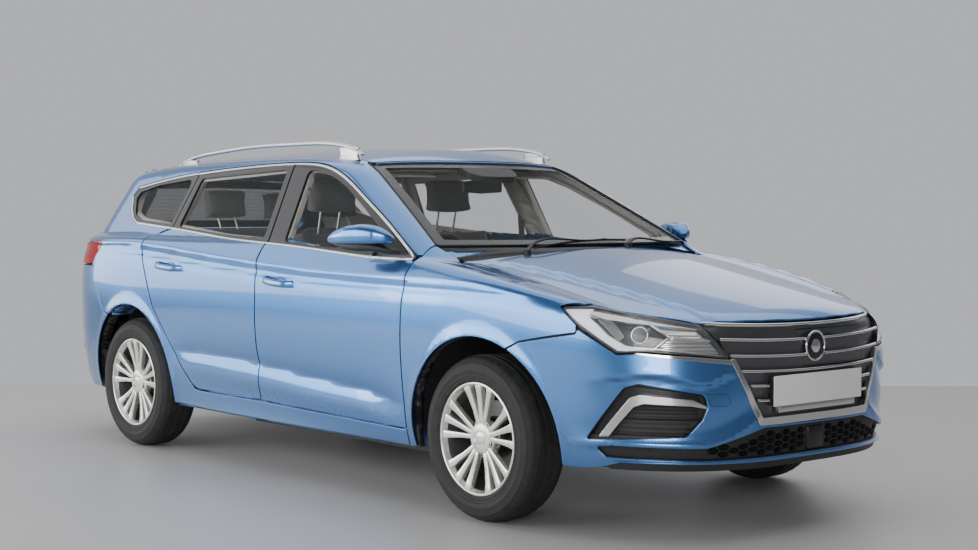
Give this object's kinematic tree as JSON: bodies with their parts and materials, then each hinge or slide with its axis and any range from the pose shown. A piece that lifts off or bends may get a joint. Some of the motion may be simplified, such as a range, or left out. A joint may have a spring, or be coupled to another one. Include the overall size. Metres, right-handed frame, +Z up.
{
  "type": "electric station wagon",
  "caption": "Five-door electric station wagon with roof rails, opening doors, hood, tailgate and charge flap, steered front wheels and a furnished cabin.",
  "frame": {"origin": "on the ground under the middle of the car's length and width", "axes": "+X to the nose, +Y to the car's left, +Z up"},
  "size_m": [4.5398, 2.0146, 1.5129],
  "materials": {
    "body_paint": "metallic mid-blue clear-coated paint",
    "bumper_paint": "plastic painted in the same metallic blue",
    "tyre": "black rubber",
    "alloy": "silver-lacquered alloy",
    "glass": "lightly green-tinted glass",
    "black_plastic": "grained black plastic",
    "gloss_black": "gloss black",
    "lamp": "clear lamp cover",
    "red_lamp": "red lamp cover",
    "satin_rail": "satin anodised",
    "steel": "dark coated steel",
    "iron": "cast",
    "seat_cloth": "dark grey woven cloth",
    "trim_plastic": "dark soft-touch trim"
  },
  "bodies": {
    "car_body": {"floor_pan": "steel", "side_frame_left": "body_paint", "side_frame_right": "body_paint", "roof_panel": "body_paint", "fenders": "body_paint", "front_bumper": "bumper_paint", "rear_bumper": "bumper_paint", "grille": "gloss_black", "charge_socket": "black_plastic", "lower_grille": "black_plastic", "headlamps": "lamp", "tail_lamps": "red_lamp", "windscreen": "glass", "quarter_glass": "glass", "roof_rails": "satin_rail", "cowl": "black_plastic", "wipers": "black_plastic", "wheel_liners": "black_plastic", "front_suspension": "steel", "rear_axle": "steel", "drive_unit": "iron", "battery_pack": "steel", "front_seats": "seat_cloth", "rear_bench": "seat_cloth", "dashboard": "trim_plastic"},
    "hood": {"hood": "body_paint"},
    "tailgate": {"tailgate": "body_paint", "tailgate_glass": "glass", "tailgate_lamps": "red_lamp"},
    "charge_flap": {"charge_flap": "gloss_black"},
    "steering_wheel": {"steering_wheel": "trim_plastic"},
    "front_door_left": {"front_door_left": "body_paint", "front_door_glass_left": "glass", "door_mirror_left": "body_paint"},
    "rear_door_left": {"rear_door_left": "body_paint", "rear_door_glass_left": "glass"},
    "knuckle_left": {"knuckle_left": "iron"},
    "front_wheel_left": {"front_tyre_left": "tyre", "front_rim_left": "alloy"},
    "rear_wheel_left": {"rear_tyre_left": "tyre", "rear_rim_left": "alloy"},
    "front_door_right": {"front_door_right": "body_paint", "front_door_glass_right": "glass", "door_mirror_right": "body_paint"},
    "rear_door_right": {"rear_door_right": "body_paint", "rear_door_glass_right": "glass"},
    "knuckle_right": {"knuckle_right": "iron"},
    "front_wheel_right": {"front_tyre_right": "tyre", "front_rim_right": "alloy"},
    "rear_wheel_right": {"rear_tyre_right": "tyre", "rear_rim_right": "alloy"}
  },
  "joints": [
    {"name": "steer_left", "type": "hinge", "parent": "car_body", "child": "knuckle_left", "pos_m": [1.317, 0.72, 0.322], "axis": [0, 0, 1], "range_deg": [-33, 33]},
    {"name": "front_wheel_spin_left", "type": "hinge", "parent": "knuckle_left", "child": "front_wheel_left", "pos_m": [1.317, 0.78, 0.322], "axis": [0, 1, 0], "continuous": true},
    {"name": "rear_wheel_spin_left", "type": "hinge", "parent": "car_body", "child": "rear_wheel_left", "pos_m": [-1.348, 0.78, 0.322], "axis": [0, 1, 0], "continuous": true},
    {"name": "front_door_swing_left", "type": "hinge", "parent": "car_body", "child": "front_door_left", "pos_m": [0.842, 0.888, 0.65], "axis": [0, 0, -1], "range_deg": [0, 66]},
    {"name": "rear_door_swing_left", "type": "hinge", "parent": "car_body", "child": "rear_door_left", "pos_m": [-0.22, 0.888, 0.65], "axis": [0, 0, -1], "range_deg": [0, 68]},
    {"name": "steer_right", "type": "hinge", "parent": "car_body", "child": "knuckle_right", "pos_m": [1.317, -0.72, 0.322], "axis": [0, 0, 1], "range_deg": [-33, 33]},
    {"name": "front_wheel_spin_right", "type": "hinge", "parent": "knuckle_right", "child": "front_wheel_right", "pos_m": [1.317, -0.78, 0.322], "axis": [0, 1, 0], "continuous": true},
    {"name": "rear_wheel_spin_right", "type": "hinge", "parent": "car_body", "child": "rear_wheel_right", "pos_m": [-1.348, -0.78, 0.322], "axis": [0, 1, 0], "continuous": true},
    {"name": "front_door_swing_right", "type": "hinge", "parent": "car_body", "child": "front_door_right", "pos_m": [0.842, -0.888, 0.65], "axis": [0, 0, 1], "range_deg": [0, 66]},
    {"name": "rear_door_swing_right", "type": "hinge", "parent": "car_body", "child": "rear_door_right", "pos_m": [-0.22, -0.888, 0.65], "axis": [0, 0, 1], "range_deg": [0, 68]},
    {"name": "hood_lift", "type": "hinge", "parent": "car_body", "child": "hood", "pos_m": [1, 0, 1.042], "axis": [0, -1, 0], "range_deg": [0, 52]},
    {"name": "tailgate_lift", "type": "hinge", "parent": "car_body", "child": "tailgate", "pos_m": [-1.832, 0, 1.398], "axis": [0, 1, 0], "range_deg": [0, 82]},
    {"name": "charge_flap_swing", "type": "hinge", "parent": "car_body", "child": "charge_flap", "pos_m": [2.236, 0.322, 0.694], "axis": [0, 0, 1], "range_deg": [0, 80]},
    {"name": "steering_wheel_turn", "type": "hinge", "parent": "car_body", "child": "steering_wheel", "pos_m": [0.42, -0.36, 0.932], "axis": [-0.8767, 0, 0.481], "range_deg": [-462, 462]}
  ],
  "couplings": [
    {"joint": "steer_right", "follows": "steer_left", "ratio": 1},
    {"joint": "steering_wheel_turn", "follows": "steer_left", "ratio": 14}
  ]
}
